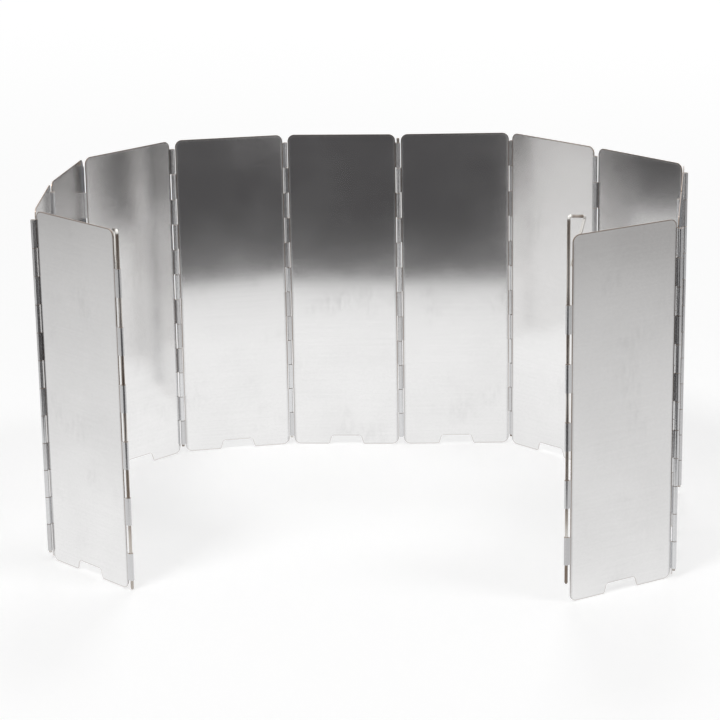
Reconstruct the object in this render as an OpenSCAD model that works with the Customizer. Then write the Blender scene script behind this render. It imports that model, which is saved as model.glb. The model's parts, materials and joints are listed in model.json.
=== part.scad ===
/* [Panels] */
// Height of a panel from the ground to its top edge
panel_h = 240; // [160:1:320]
// Distance along a panel between its two hinge lines
panel_w = 84; // [60:0.5:110]
// Thickness of the aluminium sheet
sheet_t = 0.5; // [0.4:0.05:0.8]
// Radius of a panel's four corners
corner_r = 5; // [2:0.5:9]

/* [Draught notch] */
// Width of the notch at the ground
notch_w = 26; // [16:0.5:36]
// Height of the notch
notch_h = 6.5; // [5:0.5:12]
// How far each side of the notch leans in, from the ground to its top
notch_lean = 2; // [0.5:0.25:4]
// Radius inside the notch's two upper corners
notch_inner_r = 2; // [0.5:0.25:2.5]
// Radius of the sheet's corners beside the notch, at the ground
notch_outer_r = 1.2; // [0.5:0.1:2]

/* [Hinges] */
// Diameter of a hinge pin
pin_d = 2.1; // [1.6:0.1:3]
// Running clearance all round a pin or stake in its knuckles
running_gap = 0.05; // [0.03:0.01:0.1]
// Knuckle places along one hinge, shared in turn by its two panels
knuckle_count = 12; // [6:2:16]
// Plain edge above the first knuckle and below the last one
end_margin = 6; // [5:0.5:12]
// Gap between one knuckle and the next
knuckle_gap = 0.4; // [0.2:0.05:1]
// Gap between a barrel and the straight edge of the other panel
edge_gap = 0.5; // [0.4:0.05:1]
// Angle of the slit left open where a knuckle's roll ends
slit_angle = 45; // [30:1:60]
// How far a pin stands out below its barrel
pin_out = 1.5; // [0.5:0.25:3]
// How far a pin's top lies inside its barrel
pin_in = 0.5; // [0:0.25:2]
// How far the pin in the middle of the back has crept up
crept_rise = 4; // [0:0.25:4.5]
// Number of the hinge whose pin has crept up, counted from the left end
crept_hinge = 6; // [1:1:11]
// Bevel on the ends of pins and handle wires
wire_bevel = 0.25; // [0.1:0.05:0.4]

/* [Stakes] */
// Diameter of the stake wire
stake_d = 2.1; // [1.6:0.1:3]
// How much longer a stake is than its panel, from its tip to the top of its handle
stake_over = 0.5; // [0:0.5:20]
// Width of the handle, from the shaft's axis to the far leg's axis at the top
handle_w = 14.5; // [9:0.5:20]
// Height of the handle, from its top to the wire's cut end
handle_h = 33; // [26:0.5:45]
// How far the handle's bar slopes down across its width
handle_drop = 2.5; // [0:0.25:4]
// Radius of the wire's bends, at its axis
bend_r = 1.6; // [1.4:0.1:4]
// How much the wire's radius swells where it is bent
bend_swell = 0.02; // [0.01:0.01:0.05]
// Gap between the knuckles and the leg's cut end beside them
leg_gap = 0.1; // [0.05:0.05:1]
// Length of the taper at a stake's lower end
point_l = 1; // [1:0.5:6]
// Diameter at the end of that taper
point_d = 1.5; // [0.5:0.1:1.5]
// Height of the left stake's tip above the ground
left_rise = 0; // [0:0.5:10]
// Height of the right stake's tip above the ground
right_rise = 12.5; // [0:0.5:20]
// Turn of the left handle from its panel towards the inside
left_turn = 29; // [5:1:60]
// Turn of the right handle from its panel towards the inside
right_turn = 11; // [5:1:60]

/* [Standing shape] */
// Turn of the middle panel away from the X axis
middle_turn = -3; // [-20:1:20]
// Angle that each hinge is bent inwards, from the left end to the right end
bends = [44, 9, 35, 35, 14, -3, 46, 3, 49, 0, 51]; // [-20:1:60]

/* [Hidden] */
PANELS = [for (i = [1:len(bends) + 1]) str("panel_", i)];
PINS = [for (k = [1:len(bends)]) str("hinge_pin_", k)];
$fn = 48;

panel_count = len(bends) + 1;
middle_panel = panel_count / 2;
knuckle_h = (panel_h - 2 * end_margin) / knuckle_count;
bore_r = pin_d / 2 + running_gap;
barrel_r = bore_r + sheet_t;
free_bore_r = stake_d / 2 + running_gap;
free_barrel_r = free_bore_r + sheet_t;
stake_len = panel_h + stake_over;
leg_end_u = free_barrel_r + leg_gap + stake_d / 2;
// The outlines that make up a notch lap over each other by this much
cut_lap = 0.01;
// A tongue of sheet runs this far from each knuckle's root into the panel
tongue_overlap = 1;
// The straight stretches of a bent wire run this far into its bends
run_overlap = 0.15;

sheet_color = [0.80, 0.81, 0.82];
wire_color = [0.56, 0.54, 0.51];

// Hinge lines are numbered from 0, the left free edge, to panel_count, the right free edge.
// Seen from inside, panel i lies between line i - 1 on its left and line i on its right.
// In a panel's own frame X runs along the sheet from its left hinge line, and Y points outwards.
function is_free(k) = k == 0 || k == panel_count;
function line_barrel_r(k) = is_free(k) ? free_barrel_r : barrel_r;
function line_bore_r(k) = is_free(k) ? free_bore_r : bore_r;
function side(k) = k % 2 == 0 ? -1 : 1;
function line_y(k) = side(k) * (line_bore_r(k) + sheet_t / 2);
function edge_x(k) = line_barrel_r(k) + edge_gap;

function turn2(p, a) = [p[0] * cos(a) - p[1] * sin(a), p[0] * sin(a) + p[1] * cos(a)];

function heading(i) =
    i == middle_panel ? middle_turn
    : i > middle_panel ? heading(i - 1) - bends[i - 2]
    : heading(i + 1) + bends[i - 1];

function across(i) = turn2([panel_w, line_y(i) - line_y(i - 1)], heading(i));

function loose_line(k) =
    k == middle_panel ? [0, 0]
    : k > middle_panel ? loose_line(k - 1) + across(k)
    : loose_line(k + 1) - across(k + 1);

loose_lines = [for (k = [0:panel_count]) loose_line(k)];
low_x = min([for (k = [0:panel_count]) loose_lines[k][0] - line_barrel_r(k)]);
high_x = max([for (k = [0:panel_count]) loose_lines[k][0] + line_barrel_r(k)]);
low_y = min([for (k = [0:panel_count]) loose_lines[k][1] - line_barrel_r(k)]);
high_y = max([for (k = [0:panel_count]) loose_lines[k][1] + line_barrel_r(k)]);
centre = [(low_x + high_x) / 2, (low_y + high_y) / 2];
lines = [for (p = loose_lines) p - centre];

function knuckle_top(m) = panel_h - end_margin - (m - 1) * knuckle_h;

module place_panel(i) {
    at = lines[i - 1] - turn2([0, line_y(i - 1)], heading(i));
    translate([at[0], at[1], 0])
        rotate([0, 0, heading(i)])
            children();
}

// Cut-out of one bottom notch, with its middle at x = 0 and the ground at y = 0
module notch_shape() {
    half = notch_w / 2;
    lean = atan2(notch_lean, notch_h);
    top_half = half - notch_lean;
    inner_back = notch_inner_r * tan((90 - lean) / 2);
    outer_back = notch_outer_r * tan((90 - lean) / 2);
    below = notch_outer_r;
    for (s = [-1, 1])
        scale_x(s) {
            inner = [top_half - inner_back, notch_h - notch_inner_r];
            outer = [half + outer_back, notch_outer_r];
            translate(inner)
                circle(r = notch_inner_r);
            polygon([
                [0, -below],
                [half, -below],
                [half, 0],
                inner + notch_inner_r * [cos(lean), sin(lean)],
                inner,
                [inner[0], notch_h],
                [0, notch_h]
            ]);
            difference() {
                polygon([
                    [half - cut_lap, -below],
                    [outer[0], -below],
                    [outer[0], 0],
                    outer,
                    outer - notch_outer_r * [cos(lean), sin(lean)],
                    [half - cut_lap, cut_lap]
                ]);
                translate(outer)
                    circle(r = notch_outer_r);
            }
        }
}

module scale_x(s) {
    if (s > 0)
        children();
    else
        mirror([1, 0, 0])
            children();
}

// Flat blank of a panel: x from its left straight edge to its right one, y up
module blank_shape(i) {
    left = edge_x(i - 1);
    right = panel_w - edge_x(i);
    difference() {
        union() {
            translate([left + corner_r, 0])
                square([right - left - 2 * corner_r, panel_h]);
            translate([left, corner_r])
                square([right - left, panel_h - 2 * corner_r]);
            for (x = [left + corner_r, right - corner_r], y = [corner_r, panel_h - corner_r])
                translate([x, y])
                    circle(r = corner_r);
        }
        translate([panel_w / 2, 0])
            notch_shape();
    }
}

// Plan of one knuckle on line k: the sheet's tongue comes from -X and rolls round the line
module knuckle_shape(k) {
    outer_r = line_barrel_r(k);
    inner_r = line_bore_r(k);
    root = edge_x(k) + tongue_overlap;
    far = 2 * outer_r;
    difference() {
        circle(r = outer_r);
        circle(r = inner_r);
        polygon([
            [0, 0],
            [0, far],
            far * [-sin(slit_angle / 2), cos(slit_angle / 2)],
            far * [-sin(slit_angle), cos(slit_angle)]
        ]);
    }
    translate([-root, inner_r])
        square([root, sheet_t]);
}

module knuckle(k, m) {
    translate([0, 0, knuckle_top(m) - knuckle_h + knuckle_gap / 2])
        linear_extrude(knuckle_h - knuckle_gap)
            knuckle_shape(k);
}

// The roll lies on the inner side of lines with side -1, and on the outer side of the others
module knuckles_right(i, places) {
    translate([panel_w, line_y(i), 0])
        flip_y(side(i))
            for (m = places)
                knuckle(i, m);
}

module knuckles_left(i, places) {
    translate([0, line_y(i - 1), 0])
        mirror([1, 0, 0])
            flip_y(side(i - 1))
                for (m = places)
                    knuckle(i - 1, m);
}

module flip_y(s) {
    if (s < 0)
        children();
    else
        mirror([0, 1, 0])
            children();
}

// Right edges hold the odd places and left edges the even ones. The last panel's
// right edge leaves out the first place, which makes room for the stake's handle.
module panel(i) {
    first_right = i == panel_count ? 3 : 1;
    color(sheet_color)
        place_panel(i) {
            translate([0, sheet_t / 2, 0])
                rotate([90, 0, 0])
                    linear_extrude(sheet_t)
                        blank_shape(i);
            knuckles_right(i, [first_right:2:knuckle_count]);
            knuckles_left(i, [2:2:knuckle_count]);
        }
}

module bevelled_rod(d, length, bevel) {
    translate([0, 0, bevel])
        cylinder(d = d, h = length - 2 * bevel);
    cylinder(d1 = d - 2 * bevel, d2 = d, h = bevel);
    translate([0, 0, length - bevel])
        cylinder(d1 = d, d2 = d - 2 * bevel, h = bevel);
}

module hinge_pin(k) {
    rise = k == crept_hinge ? crept_rise : 0;
    low = end_margin - pin_out + rise;
    length = panel_h - 2 * end_margin + pin_out - pin_in;
    color(wire_color)
        translate([lines[k][0], lines[k][1], low])
            bevelled_rod(pin_d, length, wire_bevel);
}

// A straight stretch of wire in the handle's plane, from a to b, as [u, z] points.
// It runs on by a little where it meets a bend.
module wire_run(a, b, on_a, on_b) {
    start = toward(a, b, -on_a);
    run = b - a;
    translate([start[0], 0, start[1]])
        rotate([0, atan2(run[0], run[1]), 0])
            cylinder(d = stake_d, h = norm(run) + on_a + on_b);
}

// A bend of the wire round the corner between the runs p to c and c to q
module wire_bend(p, c, q) {
    into = (c - p) / norm(c - p);
    out = (q - c) / norm(q - c);
    turn = acos(into * out);
    back = bend_r * tan(turn / 2);
    start = c - back * into;
    hub = start + bend_r * [into[1], -into[0]];
    translate([hub[0], 0, hub[1]])
        rotate([0, atan2(into[0], into[1]), 0])
            rotate([90, 0, 0])
                rotate([0, 0, 180 - turn])
                    rotate_extrude(angle = turn)
                        translate([bend_r, 0])
                            circle(r = stake_d / 2 + bend_swell);
}

function bend_back(p, c, q) =
    bend_r * tan(acos(((c - p) * (q - c)) / (norm(c - p) * norm(q - c))) / 2);

function toward(a, b, distance) = a + distance * (b - a) / norm(b - a);

// Stake with its tip at the origin, its shaft along Z and its handle towards +X
module stake() {
    top = stake_len - stake_d / 2;
    tip = [0, point_l];
    shaft_corner = [0, top];
    far_corner = [handle_w, top - handle_drop];
    leg_end = [leg_end_u, stake_len - handle_h];
    shaft_back = bend_back(tip, shaft_corner, far_corner);
    far_back = bend_back(shaft_corner, far_corner, leg_end);
    cylinder(d1 = point_d, d2 = stake_d, h = point_l);
    wire_run(tip, toward(shaft_corner, tip, shaft_back), 0, run_overlap);
    wire_bend(tip, shaft_corner, far_corner);
    wire_run(
        toward(shaft_corner, far_corner, shaft_back),
        toward(far_corner, shaft_corner, far_back),
        run_overlap,
        run_overlap
    );
    wire_bend(shaft_corner, far_corner, leg_end);
    wire_run(toward(far_corner, leg_end, far_back), leg_end, run_overlap, 0);
}

module left_stake() {
    color(wire_color)
        translate([lines[0][0], lines[0][1], left_rise])
            rotate([0, 0, heading(1) - left_turn])
                stake();
}

module right_stake() {
    color(wire_color)
        translate([lines[panel_count][0], lines[panel_count][1], right_rise])
            rotate([0, 0, heading(panel_count) + 180 + right_turn])
                stake();
}

for (i = [1:panel_count])
    panel(i);
for (k = [1:len(bends)])
    hinge_pin(k);
left_stake();
right_stake();
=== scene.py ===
import json
import math
import bpy
from mathutils import Matrix, Vector


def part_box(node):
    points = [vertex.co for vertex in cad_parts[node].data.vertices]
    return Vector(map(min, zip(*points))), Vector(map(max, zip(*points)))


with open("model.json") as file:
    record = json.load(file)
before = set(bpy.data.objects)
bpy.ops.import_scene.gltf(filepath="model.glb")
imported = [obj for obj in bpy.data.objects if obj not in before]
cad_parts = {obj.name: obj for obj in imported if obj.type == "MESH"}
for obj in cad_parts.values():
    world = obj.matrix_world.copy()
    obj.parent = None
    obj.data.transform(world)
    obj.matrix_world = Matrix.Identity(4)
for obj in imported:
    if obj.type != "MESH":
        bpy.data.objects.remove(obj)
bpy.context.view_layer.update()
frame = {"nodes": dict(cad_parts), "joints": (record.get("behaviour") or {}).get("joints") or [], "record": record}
print("frame loaded")

# The camera stands where the photographer stood. Angles in degrees, places in metres,
# focal length and picture centre in pixels of the 720 pixel wide picture.
cameraSetup = {
    "place": (0.0047, -1.66048, 0.5944),
    "turn": 0.41,
    "pitch": 16.165,
    "roll": 0.921,
    "focal": 2505.7,
    "pictureWidth": 720,
    "sensor": 36.0,
    "centreX": 362.0,
    "centreY": 361.1,
    "farthest": 50.0,
}


def addCamera(setup):
    data = bpy.data.cameras.new("photoCamera")
    camera = bpy.data.objects.new("photoCamera", data)
    bpy.context.scene.collection.objects.link(camera)
    turn = math.radians(setup["turn"])
    pitch = math.radians(setup["pitch"])
    level = math.cos(pitch)
    ahead = Vector((-math.sin(turn) * level, math.cos(turn) * level, -math.sin(pitch)))
    right = Vector((math.cos(turn), math.sin(turn), 0))
    axes = Matrix((right, right.cross(ahead), -ahead)).transposed()
    axes = axes @ Matrix.Rotation(-math.radians(setup["roll"]), 3, "Z")
    camera.matrix_world = Matrix.Translation(setup["place"]) @ axes.to_4x4()
    width = setup["pictureWidth"]
    data.sensor_width = setup["sensor"]
    data.lens = setup["focal"] / width * setup["sensor"]
    data.shift_x = (width / 2 - setup["centreX"]) / width
    data.shift_y = (setup["centreY"] - width / 2) / width
    data.clip_end = setup["farthest"]
    bpy.context.scene.camera = camera


addCamera(cameraSetup)
print("camera placed")


# Short ways to write shader nodes
def plug(tree, socket, value):
    if isinstance(value, bpy.types.NodeSocket):
        tree.links.new(value, socket)
    else:
        socket.default_value = value


def addNode(tree, kind, inputs=None, **settings):
    node = tree.nodes.new(kind)
    for name, value in settings.items():
        setattr(node, name, value)
    for name, value in (inputs or {}).items():
        plug(tree, node.inputs[name], value)
    return node


def maths(tree, operation, *values):
    node = tree.nodes.new("ShaderNodeMath")
    node.operation = operation
    for socket, value in zip(node.inputs, values):
        plug(tree, socket, value)
    return node.outputs[0]


def fade(tree, value, start, end, low=0.0, high=1.0):
    # low up to start, high from end on, and smooth between them
    inputs = {"Value": value, "From Min": start, "From Max": end, "To Min": low, "To Max": high}
    return addNode(tree, "ShaderNodeMapRange", inputs, interpolation_type="SMOOTHSTEP").outputs[0]


def spread(tree, value, ends):
    # noise stays near its middle, so this draws it out between the two ends
    return fade(tree, value, 0.3, 0.7, *ends)


def noise(tree, place, scale, detail=2.0, roughness=0.5):
    inputs = {"Vector": place, "Scale": scale, "Detail": detail, "Roughness": roughness}
    return addNode(tree, "ShaderNodeTexNoise", inputs).outputs[0]


def stretch(tree, place, amounts):
    node = addNode(tree, "ShaderNodeVectorMath", operation="MULTIPLY")
    plug(tree, node.inputs[0], place)
    plug(tree, node.inputs[1], amounts)
    return node.outputs[0]


def blendColours(tree, share, first, second, way="MIX"):
    node = tree.nodes.new("ShaderNodeMix")
    node.data_type = "RGBA"
    node.blend_type = way
    plug(tree, node.inputs[0], share)
    plug(tree, node.inputs[6], first)
    plug(tree, node.inputs[7], second)
    return node.outputs[2]


def startGroup(name, inputs, outputs):
    group = bpy.data.node_groups.new(name, "ShaderNodeTree")
    for label, kind in inputs:
        group.interface.new_socket(name=label, in_out="INPUT", socket_type="NodeSocket" + kind)
    for label in outputs:
        group.interface.new_socket(name=label, in_out="OUTPUT", socket_type="NodeSocketFloat")
    return group, group.nodes.new("NodeGroupInput").outputs, group.nodes.new("NodeGroupOutput").inputs


def placeGroup(tree, group, inputs):
    node = tree.nodes.new("ShaderNodeGroup")
    node.node_tree = group
    for name, value in inputs.items():
        plug(tree, node.inputs[name], value)
    return node.outputs


grainShape = {
    "lineStretch": (0.02, 0.1, 1.0),
    "lineDetail": 3.0,
    "lineRoughness": 0.6,
    "speckleRoughness": 0.65,
    "cloudDetail": 3.0,
    "waveStretch": (0.3, 0.3, 1.0),
}


# Grain of rolled sheet. Place is in millimetres in the panel's own frame.
def makeRolledGrain(shape):
    group, given, result = startGroup(
        "rolledGrain",
        [
            ("Place", "Vector"),
            ("Line Width", "Float"),
            ("Speckle Size", "Float"),
            ("Cloud Size", "Float"),
            ("Wave Size", "Float"),
        ],
        ["Lines", "Speckle", "Cloud", "Wave"],
    )
    perLine = maths(group, "DIVIDE", 1.0, given["Line Width"])
    perSpeckle = maths(group, "DIVIDE", 1.0, given["Speckle Size"])
    perCloud = maths(group, "DIVIDE", 1.0, given["Cloud Size"])
    along = stretch(group, given["Place"], shape["lineStretch"])
    lines = noise(group, along, perLine, shape["lineDetail"], shape["lineRoughness"])
    plug(group, result["Lines"], lines)
    speckle = noise(group, given["Place"], perSpeckle, roughness=shape["speckleRoughness"])
    plug(group, result["Speckle"], speckle)
    plug(group, result["Cloud"], noise(group, given["Place"], perCloud, shape["cloudDetail"]))
    wide = stretch(group, given["Place"], shape["waveStretch"])
    perWave = maths(group, "DIVIDE", 1.0, given["Wave Size"])
    plug(group, result["Wave"], noise(group, wide, perWave, 0.0))
    return group


def awayFrom(tree, x, z):
    # how far a point is past both lines that meet at a corner
    pastX = maths(tree, "MAXIMUM", x, 0.0)
    pastZ = maths(tree, "MAXIMUM", z, 0.0)
    squareX = maths(tree, "MULTIPLY", pastX, pastX)
    squareZ = maths(tree, "MULTIPLY", pastZ, pastZ)
    return maths(tree, "SQRT", maths(tree, "ADD", squareX, squareZ))


# Distance from the cut outline of a panel, turned into masks for the burr strip, which gets a painted brown
# reflection, and the rubbed rim; also the knuckle strip and a random pick per knuckle for the knuckles' painted
# shade
def makeCutEdge():
    group, given, result = startGroup(
        "cutEdge",
        [
            ("Place", "Vector"),
            ("Width", "Float"),
            ("Height", "Float"),
            ("Side", "Float"),
            ("Corner", "Float"),
            ("Notch Half", "Float"),
            ("Notch Height", "Float"),
            ("Notch Lean", "Float"),
            ("Notch Round", "Float"),
            ("Burr", "Float"),
            ("Rim", "Float"),
            ("Knuckle Height", "Float"),
            ("Seed", "Float"),
        ],
        ["Burr", "Rim", "Knuckle", "Knuckle Tone"],
    )
    parts = addNode(group, "ShaderNodeSeparateXYZ", {"Vector": given["Place"]}).outputs
    halfWidth = maths(group, "MULTIPLY", given["Width"], 0.5)
    halfHeight = maths(group, "MULTIPLY", given["Height"], 0.5)
    across = maths(group, "ABSOLUTE", maths(group, "SUBTRACT", parts["X"], halfWidth))
    upward = maths(group, "ABSOLUTE", maths(group, "SUBTRACT", parts["Z"], halfHeight))
    edgeHalf = maths(group, "SUBTRACT", halfWidth, given["Side"])
    overX = maths(group, "SUBTRACT", across, maths(group, "SUBTRACT", edgeHalf, given["Corner"]))
    overZ = maths(group, "SUBTRACT", upward, maths(group, "SUBTRACT", halfHeight, given["Corner"]))
    outside = awayFrom(group, overX, overZ)
    inside = maths(group, "MINIMUM", maths(group, "MAXIMUM", overX, overZ), 0.0)
    toOutline = maths(group, "SUBTRACT", given["Corner"], maths(group, "ADD", outside, inside))
    # the notch's sides lean in, and its upper corners are round
    leanEach = maths(group, "DIVIDE", given["Notch Lean"], given["Notch Height"])
    leanedIn = maths(group, "MULTIPLY", parts["Z"], leanEach)
    notchSide = maths(group, "SUBTRACT", given["Notch Half"], leanedIn)
    overSide = maths(group, "SUBTRACT", across, notchSide)
    overTop = maths(group, "SUBTRACT", parts["Z"], given["Notch Height"])
    roundX = maths(group, "ADD", overSide, given["Notch Round"])
    roundZ = maths(group, "ADD", overTop, given["Notch Round"])
    toNotch = maths(group, "SUBTRACT", awayFrom(group, roundX, roundZ), given["Notch Round"])
    near = maths(group, "MINIMUM", toOutline, toNotch)
    onSheet = maths(group, "LESS_THAN", across, edgeHalf)
    burr = fade(group, near, 0.0, given["Burr"], 1.0, 0.0)
    rim = fade(group, near, 0.0, given["Rim"], 1.0, 0.0)
    plug(group, result["Burr"], maths(group, "MULTIPLY", burr, onSheet))
    plug(group, result["Rim"], maths(group, "MULTIPLY", rim, onSheet))
    knuckleStart = maths(group, "SUBTRACT", edgeHalf, given["Rim"])
    plug(group, result["Knuckle"], fade(group, across, knuckleStart, edgeHalf))
    # each knuckle gets its own random value, which picks how deep its painted shade is
    row = maths(group, "FLOOR", maths(group, "DIVIDE", upward, given["Knuckle Height"]))
    half = maths(group, "GREATER_THAN", parts["Z"], halfHeight)
    leftEdge = maths(group, "GREATER_THAN", parts["X"], halfWidth)
    cell = addNode(group, "ShaderNodeCombineXYZ", {"X": row, "Y": half, "Z": leftEdge}).outputs[0]
    chance = {"Vector": cell, "W": given["Seed"]}
    picked = addNode(group, "ShaderNodeTexWhiteNoise", chance, noise_dimensions="4D")
    plug(group, result["Knuckle Tone"], picked.outputs["Value"])
    return group


handlingShape = {
    "patchStart": 0.52,
    "patchEnd": 0.72,
    "dragStretch": (0.5, 0.5, 0.16),
    "streaksPerSmear": 20.0,
    "slant": 0.62,
    "scratchStretch": (1.0, 1.0, 0.13),
    "breakScale": 0.06,
    "breakStart": 0.5,
    "breakEnd": 0.62,
}


# Marks left by use: greasy smears and fine scratches
def makeHandling(shape):
    group, given, result = startGroup(
        "handling",
        [
            ("Place", "Vector"),
            ("Smear Size", "Float"),
            ("Scratch Size", "Float"),
            ("Scratch Width", "Float"),
        ],
        ["Smear", "Scratch"],
    )
    perSmear = maths(group, "DIVIDE", 1.0, given["Smear Size"])
    patch = noise(group, given["Place"], perSmear)
    patch = fade(group, patch, shape["patchStart"], shape["patchEnd"])
    drag = stretch(group, given["Place"], shape["dragStretch"])
    perStreak = maths(group, "MULTIPLY", perSmear, shape["streaksPerSmear"])
    streak = spread(group, noise(group, drag, perStreak), (0.0, 1.0))
    plug(group, result["Smear"], maths(group, "MULTIPLY", patch, streak))
    slanted = {"Vector": given["Place"], "Rotation": (0.0, shape["slant"], 0.0)}
    slanted = addNode(group, "ShaderNodeMapping", slanted).outputs[0]
    long = stretch(group, slanted, shape["scratchStretch"])
    cells = addNode(
        group,
        "ShaderNodeTexVoronoi",
        {"Vector": long, "Scale": maths(group, "DIVIDE", 1.0, given["Scratch Size"])},
        feature="DISTANCE_TO_EDGE",
    ).outputs["Distance"]
    line = fade(group, cells, 0.0, given["Scratch Width"], 1.0, 0.0)
    broken = noise(group, given["Place"], shape["breakScale"])
    broken = fade(group, broken, shape["breakStart"], shape["breakEnd"])
    plug(group, result["Scratch"], maths(group, "MULTIPLY", line, broken))
    return group


wireShape = {
    "lineStretch": (1.0, 1.0, 0.04),
    "lineScale": 3.0,
    "stainStretch": (1.0, 1.0, 0.3),
    "stainStart": 0.3,
    "stainEnd": 0.72,
    "rubbedShift": (70.0, 30.0, 50.0),
    "rubbedStart": 0.54,
    "rubbedEnd": 0.74,
    "speckleScale": 1.6,
}


# Drawn wire: fine lines along it, and brown stains. Place is in millimetres.
def makeDrawnWire(shape):
    group, given, result = startGroup(
        "drawnWire", [("Place", "Vector"), ("Stain Size", "Float")], ["Lines", "Stain", "Rubbed", "Speckle"]
    )
    along = stretch(group, given["Place"], shape["lineStretch"])
    plug(group, result["Lines"], noise(group, along, shape["lineScale"]))
    perStain = maths(group, "DIVIDE", 1.0, given["Stain Size"])
    drawn = stretch(group, given["Place"], shape["stainStretch"])
    stain = noise(group, drawn, perStain, 1.0)
    plug(group, result["Stain"], fade(group, stain, shape["stainStart"], shape["stainEnd"]))
    apart = addNode(group, "ShaderNodeVectorMath", operation="ADD")
    plug(group, apart.inputs[0], drawn)
    plug(group, apart.inputs[1], shape["rubbedShift"])
    brightened = noise(group, apart.outputs[0], perStain, 1.0)
    plug(group, result["Rubbed"], fade(group, brightened, shape["rubbedStart"], shape["rubbedEnd"]))
    plug(group, result["Speckle"], noise(group, given["Place"], shape["speckleScale"]))
    return group


rolledGrain = makeRolledGrain(grainShape)
cutEdge = makeCutEdge()
handling = makeHandling(handlingShape)
drawnWire = makeDrawnWire(wireShape)
print("surface effects made")


perMetre = 1000.0  # millimetres in a metre

# Satin rolled aluminium. Sizes are in millimetres.
panelFinish = {
    "tone": (0.91, 0.905, 0.902),
    "burrReflectionTone": (0.30, 0.225, 0.17),
    "cutReflectionTone": (0.46, 0.37, 0.31),
    "knuckleTone": (0.80, 0.805, 0.815),
    "knuckleShade": (0.60, 0.595, 0.60),
    "cloudTone": (0.955, 1.0),
    "speckleTone": (-0.020, 0.002),
    "lineTone": (-0.02, 0.0),
    "smearTone": 0.05,
    "roughness": 0.085,
    "speckleRough": (0.008, 0.022),
    "cloudRough": 0.03,
    "cloudRoughStart": 0.35,
    "cloudRoughEnd": 0.7,
    "smearRough": 0.02,
    "rimRough": 0.07,
    "knuckleRough": 0.07,
    "cutRough": 0.12,
    "levelStart": 0.6,
    "levelEnd": 0.8,
    "rollShift": (9000.0, 7000.0),
    "width": 84.0,
    "height": 240.0,
    "straightEdge": 2.1,
    "corner": 5.0,
    "notchHalf": 13.0,
    "notchHeight": 6.5,
    "notchLean": 2.0,
    "notchRound": 2.0,
    "burr": 0.95,
    "burrReflectionAtGround": 0.3,
    "burrReflectionFull": 90.0,
    "rim": 2.4,
    "knuckleHeight": 19.0,
    "lineWidth": 1.3,
    "speckleSize": 2.2,
    "cloudSize": 48.0,
    "waveSize": 80.0,
    "waveHeight": 0.08,
    "speckleHeight": 0.0005,
    "lineHeight": 0.0007,
    "smearSize": 36.0,
    "scratchSize": 16.0,
    "scratchWidth": 0.016,
    "scratchHeight": 0.0015,
}


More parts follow.
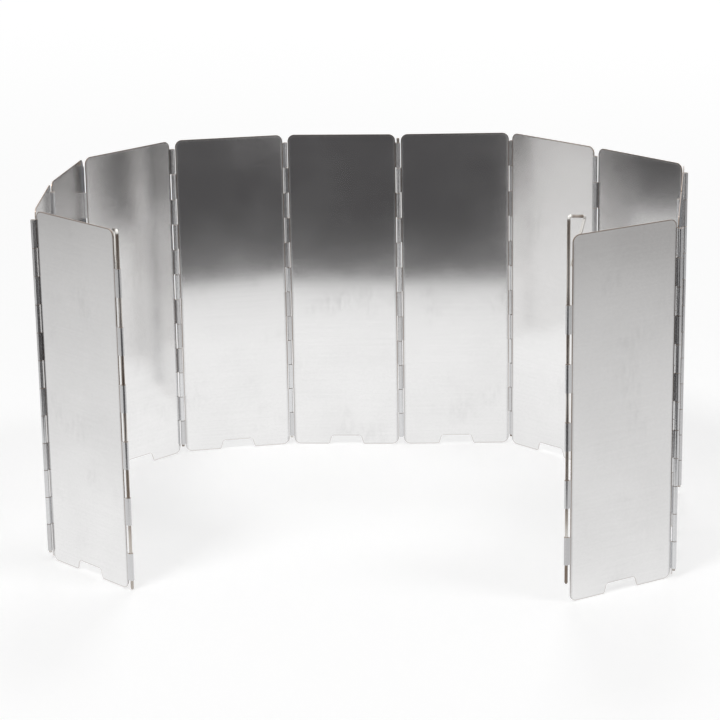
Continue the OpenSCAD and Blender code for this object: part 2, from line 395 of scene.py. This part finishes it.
def panelMaterial(name, place, heading, finish, turned):
    material = bpy.data.materials.new(name)
    material.use_nodes = True
    tree = material.node_tree
    shader = tree.nodes["Principled BSDF"]
    coordinates = addNode(tree, "ShaderNodeTexCoord").outputs
    local = addNode(
        tree,
        "ShaderNodeMapping",
        {"Vector": coordinates["Object"], "Location": (*place, 0.0), "Rotation": (0.0, 0.0, heading)},
        vector_type="TEXTURE",
    ).outputs[0]
    local = stretch(tree, local, (perMetre, perMetre, perMetre))
    # each panel is cut from another stretch of the roll
    shift = (place[0] * finish["rollShift"][0], 0.0, place[1] * finish["rollShift"][1])
    ownPlace = addNode(tree, "ShaderNodeVectorMath", operation="ADD")
    plug(tree, ownPlace.inputs[0], local)
    plug(tree, ownPlace.inputs[1], shift)
    ownPlace = ownPlace.outputs[0]
    grain = placeGroup(
        tree,
        rolledGrain,
        {
            "Place": ownPlace,
            "Line Width": finish["lineWidth"],
            "Speckle Size": finish["speckleSize"],
            "Cloud Size": finish["cloudSize"],
            "Wave Size": finish["waveSize"],
        },
    )
    edge = placeGroup(
        tree,
        cutEdge,
        {
            "Place": local,
            "Width": finish["width"],
            "Height": finish["height"],
            "Side": finish["straightEdge"],
            "Corner": finish["corner"],
            "Notch Half": finish["notchHalf"],
            "Notch Height": finish["notchHeight"],
            "Notch Lean": finish["notchLean"],
            "Notch Round": finish["notchRound"],
            "Burr": finish["burr"],
            "Rim": finish["rim"],
            "Knuckle Height": finish["knuckleHeight"],
            "Seed": place[0] * perMetre,
        },
    )
    marks = placeGroup(
        tree,
        handling,
        {
            "Place": ownPlace,
            "Smear Size": finish["smearSize"],
            "Scratch Size": finish["scratchSize"],
            "Scratch Width": finish["scratchWidth"],
        },
    )
    # colour: cloudy and finely speckled, painted shade on the knuckles, and a painted brown-dark reflection along
    # the cut edge
    shade = spread(tree, grain["Cloud"], finish["cloudTone"])
    shade = maths(tree, "ADD", shade, spread(tree, grain["Speckle"], finish["speckleTone"]))
    shade = maths(tree, "ADD", shade, spread(tree, grain["Lines"], finish["lineTone"]))
    smeared = maths(tree, "MULTIPLY", marks["Smear"], finish["smearTone"])
    shade = maths(tree, "SUBTRACT", shade, smeared)
    grey = addNode(tree, "ShaderNodeCombineColor", {"Red": shade, "Green": shade, "Blue": shade}).outputs[0]
    # painted shade: the knuckles are painted darker than the sheet, each between a lighter and a darker knuckle
    # tone
    bright = (*finish["knuckleTone"], 1)
    shadedKnuckle = (*finish["knuckleShade"], 1)
    knuckleShading = blendColours(tree, edge["Knuckle Tone"], bright, shadedKnuckle)
    colour = blendColours(tree, edge["Knuckle"], (*finish["tone"], 1), knuckleShading)
    colour = blendColours(tree, 1.0, colour, grey, "MULTIPLY")
    # painted reflection: the burr strip is painted brown, as if mirroring a brown surrounding, and fades towards
    # the ground, where it would mirror the white floor
    spot = addNode(tree, "ShaderNodeSeparateXYZ", {"Vector": local}).outputs
    edgeReflection = fade(tree, spot["Z"], 0.0, finish["burrReflectionFull"], finish["burrReflectionAtGround"], 1.0)
    edgeReflection = maths(tree, "MULTIPLY", edge["Burr"], edgeReflection)
    colour = blendColours(tree, edgeReflection, colour, (*finish["burrReflectionTone"], 1))
    # painted reflection on level cut faces (top edge, notch and knuckle ends): they are painted brown, as if
    # mirroring a brown surrounding
    upright = addNode(tree, "ShaderNodeSeparateXYZ", {"Vector": coordinates["Normal"]}).outputs["Z"]
    cut = fade(tree, maths(tree, "ABSOLUTE", upright), finish["levelStart"], finish["levelEnd"])
    colour = blendColours(tree, cut, colour, (*finish["cutReflectionTone"], 1))
    plug(tree, shader.inputs["Base Color"], colour)
    rough = spread(tree, grain["Speckle"], finish["speckleRough"])
    rough = maths(tree, "ADD", finish["roughness"], rough)
    cloudStart = finish["cloudRoughStart"]
    clouded = fade(tree, grain["Cloud"], cloudStart, finish["cloudRoughEnd"], 0.0, finish["cloudRough"])
    rough = maths(tree, "ADD", rough, clouded)
    duller = {
        "smearRough": marks["Smear"],
        "rimRough": edge["Rim"],
        "knuckleRough": edge["Knuckle"],
        "cutRough": cut,
    }
    for label, mask in duller.items():
        rough = maths(tree, "ADD", rough, maths(tree, "MULTIPLY", mask, finish[label]))
    plug(tree, shader.inputs["Roughness"], rough)
    shader.inputs["Metallic"].default_value = 1.0
    # relief, in millimetres
    relief = maths(tree, "MULTIPLY", grain["Wave"], finish["waveHeight"])
    speckled = maths(tree, "MULTIPLY", grain["Speckle"], finish["speckleHeight"])
    relief = maths(tree, "ADD", relief, speckled)
    lined = maths(tree, "MULTIPLY", grain["Lines"], finish["lineHeight"])
    relief = maths(tree, "ADD", relief, lined)
    scratched = maths(tree, "MULTIPLY", marks["Scratch"], finish["scratchHeight"])
    relief = maths(tree, "SUBTRACT", relief, scratched)
    sprung = maths(tree, "MULTIPLY", spot["X"], math.tan(math.radians(turned)))
    relief = maths(tree, "ADD", relief, sprung)
    bump = addNode(tree, "ShaderNodeBump", {"Height": relief, "Distance": 1 / perMetre, "Strength": 1.0})
    plug(tree, shader.inputs["Normal"], bump.outputs[0])
    return material


panelCount = 12


# Hinge lines run from 0, the left free edge, to panelCount, the right free edge
def hingeLines():
    record = frame["record"]
    places = {}
    for mount in record["mounts"]:
        if mount["name"] == "left_ground_stake":
            places[0] = mount["pos_m"]
        if mount["name"] == "right_ground_stake":
            places[panelCount] = mount["pos_m"]
    for joint in frame["joints"]:
        if joint["name"].startswith("hinge_"):
            places[int(joint["name"].split("_")[1])] = joint["pos_m"]
    return [Vector(places[k][:2]) for k in range(panelCount + 1)]


barrelOffset = 0.00135  # from a hinge line to the middle of the sheet beside it


def panelFrame(lines, index):
    # where panel number index starts and which way it runs, at the middle of its sheet
    span = lines[index] - lines[index - 1]
    side = 1 if index % 2 else -1
    heading = math.atan2(span.y, span.x)
    heading -= math.atan2(2 * side * barrelOffset, panelFinish["width"] / perMetre)
    outward = Vector((-math.sin(heading), math.cos(heading)))
    return lines[index - 1] + side * barrelOffset * outward, heading


# Degrees by which the middle of a springy panel turns out of the line of its hinges
springTurn = {
    1: 0.3,
    2: 7.3,
    3: -6.3,
    4: -5.9,
    5: 0.3,
    6: -0.2,
    7: 0.4,
    8: -4.4,
    9: 5.0,
    10: 0.5,
    11: -0.4,
    12: 0.3,
}


def dressPanels():
    lines = hingeLines()
    for index in range(1, panelCount + 1):
        name = f"panel_{index}"
        place, heading = panelFrame(lines, index)
        material = panelMaterial(f"rolledSheet{index}", place, heading, panelFinish, springTurn[index])
        node = frame["nodes"][name]
        node.data.materials.clear()
        node.data.materials.append(material)


dressPanels()
print("panels dressed")

# Steel wire, brown from drawing and heat, with brighter rubbed stretches at random, and painted highlights: a
# brighter colour at a handle's two bends, along its leg and at the leg's cut end
wireFinish = {
    "tone": (0.56, 0.52, 0.48),
    "stainTone": (0.20, 0.155, 0.125),
    "rubbedAndHighlightTone": (0.74, 0.72, 0.69),
    "roughness": 0.11,
    "lineRough": (0.0, 0.08),
    "stainRough": 0.12,
    "stainSize": 11.0,
    "lineHeight": 0.003,
    "wireRadius": 0.00105,
    "handleDrop": 0.0025,
    "legEndDrop": 0.0325,
    "legEndShare": 0.19,  # of the handle's width, where the leg ends beside the shaft
    "spotSize": 3.0,
    "spotSharpness": 0.5,  # share of a spot that is bright all over
    "legReach": 1.7,
    "legSharpness": 0.7,
}


def distanceToLeg(tree, place, start, end):
    # millimetres from a straight stretch of wire between two points
    start = Vector(start) * perMetre
    along = Vector(end) * perMetre - start
    offset = addNode(tree, "ShaderNodeVectorMath", operation="SUBTRACT")
    plug(tree, offset.inputs[0], place)
    plug(tree, offset.inputs[1], start)
    reach = addNode(tree, "ShaderNodeVectorMath", operation="DOT_PRODUCT")
    plug(tree, reach.inputs[0], offset.outputs[0])
    plug(tree, reach.inputs[1], along / along.length_squared)
    part = maths(tree, "MINIMUM", maths(tree, "MAXIMUM", reach.outputs["Value"], 0.0), 1.0)
    nearest = addNode(tree, "ShaderNodeVectorMath", operation="SCALE")
    plug(tree, nearest.inputs[0], along)
    plug(tree, nearest.inputs["Scale"], part)
    distance = addNode(tree, "ShaderNodeVectorMath", operation="DISTANCE")
    plug(tree, distance.inputs[0], offset.outputs[0])
    plug(tree, distance.inputs[1], nearest.outputs[0])
    return distance.outputs["Value"]


def wireMaterial(name, finish, highlightSpots):
    material = bpy.data.materials.new(name)
    material.use_nodes = True
    tree = material.node_tree
    shader = tree.nodes["Principled BSDF"]
    coordinates = addNode(tree, "ShaderNodeTexCoord").outputs["Object"]
    place = stretch(tree, coordinates, (perMetre, perMetre, perMetre))
    wire = placeGroup(tree, drawnWire, {"Place": place, "Stain Size": finish["stainSize"]})
    colour = blendColours(tree, wire["Stain"], (*finish["tone"], 1), (*finish["stainTone"], 1))
    brightened = wire["Rubbed"]
    for spot in highlightSpots:
        reach = addNode(tree, "ShaderNodeVectorMath", operation="DISTANCE")
        plug(tree, reach.inputs[0], place)
        plug(tree, reach.inputs[1], [part * perMetre for part in spot])
        size = finish["spotSize"]
        bright = fade(tree, reach.outputs["Value"], size * finish["spotSharpness"], size, 1.0, 0.0)
        brightened = maths(tree, "MAXIMUM", brightened, bright)
    if highlightSpots:
        # painted highlight along the leg, between the last two spots
        leg = distanceToLeg(tree, place, highlightSpots[-2], highlightSpots[-1])
        size = finish["legReach"]
        bright = fade(tree, leg, size * finish["legSharpness"], size, 1.0, 0.0)
        brightened = maths(tree, "MAXIMUM", brightened, bright)
    # the brighter tone is random rubbed wear plus painted highlights at the spots and along the leg
    colour = blendColours(tree, brightened, colour, (*finish["rubbedAndHighlightTone"], 1))
    plug(tree, shader.inputs["Base Color"], colour)
    rough = maths(tree, "ADD", finish["roughness"], spread(tree, wire["Lines"], finish["lineRough"]))
    rough = maths(tree, "ADD", rough, maths(tree, "MULTIPLY", wire["Stain"], finish["stainRough"]))
    plug(tree, shader.inputs["Roughness"], rough)
    shader.inputs["Metallic"].default_value = 1.0
    relief = maths(tree, "ADD", wire["Lines"], wire["Speckle"])
    relief = maths(tree, "MULTIPLY", relief, finish["lineHeight"])
    bump = addNode(tree, "ShaderNodeBump", {"Height": relief, "Distance": 1 / perMetre, "Strength": 1.0})
    plug(tree, shader.inputs["Normal"], bump.outputs[0])
    return material


def handleHighlightSpots(name, shaft, finish):
    # the two bends of a handle and the cut end of its leg, where a brighter colour is painted as highlights
    low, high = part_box(name)
    inset = finish["wireRadius"]
    farX = high.x - inset if high.x - shaft.x > shaft.x - low.x else low.x + inset
    farY = high.y - inset if high.y - shaft.y > shaft.y - low.y else low.y + inset
    top = high.z - inset
    nearBend = (shaft.x, shaft.y, top)
    farBend = (farX, farY, top - finish["handleDrop"])
    share = finish["legEndShare"]
    legEndX = shaft.x + share * (farX - shaft.x)
    legEndY = shaft.y + share * (farY - shaft.y)
    return [nearBend, farBend, (legEndX, legEndY, high.z - finish["legEndDrop"])]


def dressWires():
    lines = hingeLines()
    shafts = {"left_stake": lines[0], "right_stake": lines[panelCount]}
    pinMaterial = wireMaterial("pinWire", wireFinish, [])
    for name, node in frame["nodes"].items():
        if name.startswith("panel"):
            continue
        material = pinMaterial
        if name in shafts:
            highlights = handleHighlightSpots(name, shafts[name], wireFinish)
            material = wireMaterial(f"{name}_wire", wireFinish, highlights)
        node.data.materials.clear()
        node.data.materials.append(material)


dressWires()
print("wires dressed")

# A white studio table. For glossy rays only it is painted darker away from the object and darkest in front and
# behind:
# a painted reflection of a dark room around the table. Places in metres.
studio = {
    "floorSize": 8.0,
    "floorDrop": 0.0002,
    "floorTone": 0.80,
    "glow": 0.37,
    "glowFar": 0.17,
    "glowStart": 0.4,
    "glowEnd": 3.5,
    "darkTone": (0.061, 0.059, 0.061),
    "awayTone": (0.074, 0.063, 0.058),
    "endStart": -0.345,
    "endDone": -0.333,
    "endDark": 0.90,
    "nearStart": -0.635,
    "nearDone": -0.355,
    "nearDark": 0.08,
    "darkHalf": 0.33,
    "darkSide": 0.55,
    "mirrorCentre": -0.09,
    "mirrorReach": 1.5,
    "mirrorWhite": 0.97,
    # share of dark at each distance from the object, as a part of the reach
    "mirrorFall": {
        0.08: 0.0,
        0.16: 0.05,
        0.29: 0.18,
        0.43: 0.26,
        0.61: 0.38,
        0.72: 0.47,
        0.82: 0.60,
        1.0: 0.66,
    },
    "tableBack": 0.46,
    "backDone": 0.49,
    "backDark": 0.88,
    "backTone": (0.070, 0.080, 0.095),
    "worldForObject": 0.45,
    "worldSeen": 1.0,
}


def seenRays(tree):
    rays = addNode(tree, "ShaderNodeLightPath").outputs
    seen = maths(tree, "MAXIMUM", rays["Is Camera Ray"], rays["Is Glossy Ray"])
    return maths(tree, "MAXIMUM", seen, rays["Is Transmission Ray"]), rays["Is Glossy Ray"]


def fallRamp(tree, value, stops):
    ramp = addNode(tree, "ShaderNodeValToRGB", {"Fac": value})
    points = ramp.color_ramp.elements
    while len(points) < len(stops):
        points.new(1.0)
    for point, (place, share) in zip(points, sorted(stops.items())):
        point.position = place
        point.color = (share, share, share, 1.0)
    return ramp.outputs["Color"]


def floorMaterial(setup):
    material = bpy.data.materials.new("tableTop")
    material.use_nodes = True
    tree = material.node_tree
    tree.nodes.clear()
    result = tree.nodes.new("ShaderNodeOutputMaterial")
    seen, mirrored = seenRays(tree)
    # metal mirrors an even white in place of the lit paint, so that mirrored parts stay smooth
    direct = maths(tree, "SUBTRACT", 1.0, mirrored)
    tone = maths(tree, "MULTIPLY", setup["floorTone"], direct)
    paintColour = addNode(tree, "ShaderNodeCombineColor", {"Red": tone, "Green": tone, "Blue": tone})
    paint = addNode(tree, "ShaderNodeBsdfDiffuse", {"Color": paintColour.outputs[0]}).outputs[0]
    position = addNode(tree, "ShaderNodeNewGeometry").outputs["Position"]
    parts = addNode(tree, "ShaderNodeSeparateXYZ", {"Vector": position}).outputs
    distance = addNode(tree, "ShaderNodeVectorMath", operation="DISTANCE")
    plug(tree, distance.inputs[0], position)
    plug(tree, distance.inputs[1], (setup["mirrorCentre"], 0.0, 0.0))
    distance = distance.outputs["Value"]
    farGlow = setup["glow"] + setup["glowFar"]
    glowing = fade(tree, distance, setup["glowStart"], setup["glowEnd"], setup["glow"], farGlow)
    glowing = maths(tree, "MULTIPLY", maths(tree, "MULTIPLY", seen, glowing), direct)
    glowing = maths(tree, "ADD", glowing, maths(tree, "MULTIPLY", mirrored, setup["mirrorWhite"]))
    glow = addNode(tree, "ShaderNodeEmission", {"Color": (1, 1, 1, 1), "Strength": glowing}).outputs[0]
    white = addNode(tree, "ShaderNodeAddShader")
    plug(tree, white.inputs[0], paint)
    plug(tree, white.inputs[1], glow)
    away = maths(tree, "DIVIDE", distance, setup["mirrorReach"])
    around = fallRamp(tree, away, setup["mirrorFall"])
    front = fade(tree, parts["Y"], setup["endStart"], setup["endDone"], setup["endDark"], 0.0)
    near = fade(tree, parts["Y"], setup["nearStart"], setup["nearDone"], setup["nearDark"], 0.0)
    front = maths(tree, "ADD", front, near)
    sideways = maths(tree, "ABSOLUTE", parts["X"])
    sideways = fade(tree, sideways, setup["darkHalf"], setup["darkSide"], 1.0, 0.0)
    front = maths(tree, "MULTIPLY", front, sideways)
    rear = fade(tree, parts["Y"], setup["tableBack"], setup["backDone"], 0.0, setup["backDark"])
    # painted reflection: for glossy rays only, the floor turns dark away from the object, in front and behind
    share = maths(tree, "MAXIMUM", maths(tree, "MAXIMUM", around, front), rear)
    share = maths(tree, "MULTIPLY", share, mirrored)
    shade = blendColours(tree, front, (*setup["awayTone"], 1), (*setup["darkTone"], 1))
    shade = blendColours(tree, rear, shade, (*setup["backTone"], 1))
    dark = addNode(tree, "ShaderNodeEmission", {"Color": shade, "Strength": 1.0}).outputs[0]
    mixed = addNode(tree, "ShaderNodeMixShader", {"Fac": share})
    plug(tree, mixed.inputs[1], white.outputs[0])
    plug(tree, mixed.inputs[2], dark)
    plug(tree, result.inputs["Surface"], mixed.outputs[0])
    return material


def addFloor(setup):
    half = setup["floorSize"] / 2
    mesh = bpy.data.meshes.new("floor")
    corners = [(-half, -half, 0), (half, -half, 0), (half, half, 0), (-half, half, 0)]
    mesh.from_pydata(corners, [], [(0, 1, 2, 3)])
    floor = bpy.data.objects.new("floor", mesh)
    bpy.context.scene.collection.objects.link(floor)
    floor.location.z = -setup["floorDrop"]
    mesh.materials.append(floorMaterial(setup))


def addWorld(setup):
    world = bpy.data.worlds.new("studioAir")
    world.use_nodes = True
    tree = world.node_tree
    seen, _ = seenRays(tree)
    strengths = {"Value": seen, "To Min": setup["worldForObject"], "To Max": setup["worldSeen"]}
    strength = addNode(tree, "ShaderNodeMapRange", strengths)
    plug(tree, tree.nodes["Background"].inputs["Color"], (1, 1, 1, 1))
    plug(tree, tree.nodes["Background"].inputs["Strength"], strength.outputs[0])
    bpy.context.scene.world = world


softBoxes = [
    {"name": "keyLight", "place": (-1.3, -1.6, 3.4), "size": 0.9, "watts": 28.0},
    {"name": "fillLight", "place": (1.8, -0.9, 3.2), "size": 0.9, "watts": 14.0},
    {"name": "backLight", "place": (0.2, 2.2, 3.2), "size": 0.9, "watts": 14.0},
]


def addSoftBoxes(boxes):
    for box in boxes:
        data = bpy.data.lights.new(box["name"], "AREA")
        data.shape = "SQUARE"
        data.size = box["size"]
        data.energy = box["watts"]
        lamp = bpy.data.objects.new(box["name"], data)
        bpy.context.scene.collection.objects.link(lamp)
        place = Vector(box["place"])
        aim = -place
        lamp.matrix_world = Matrix.Translation(place) @ aim.to_track_quat("-Z", "Y").to_matrix().to_4x4()


addFloor(studio)
addWorld(studio)
addSoftBoxes(softBoxes)
bpy.context.scene.view_settings.view_transform = "Standard"
print("studio lit")
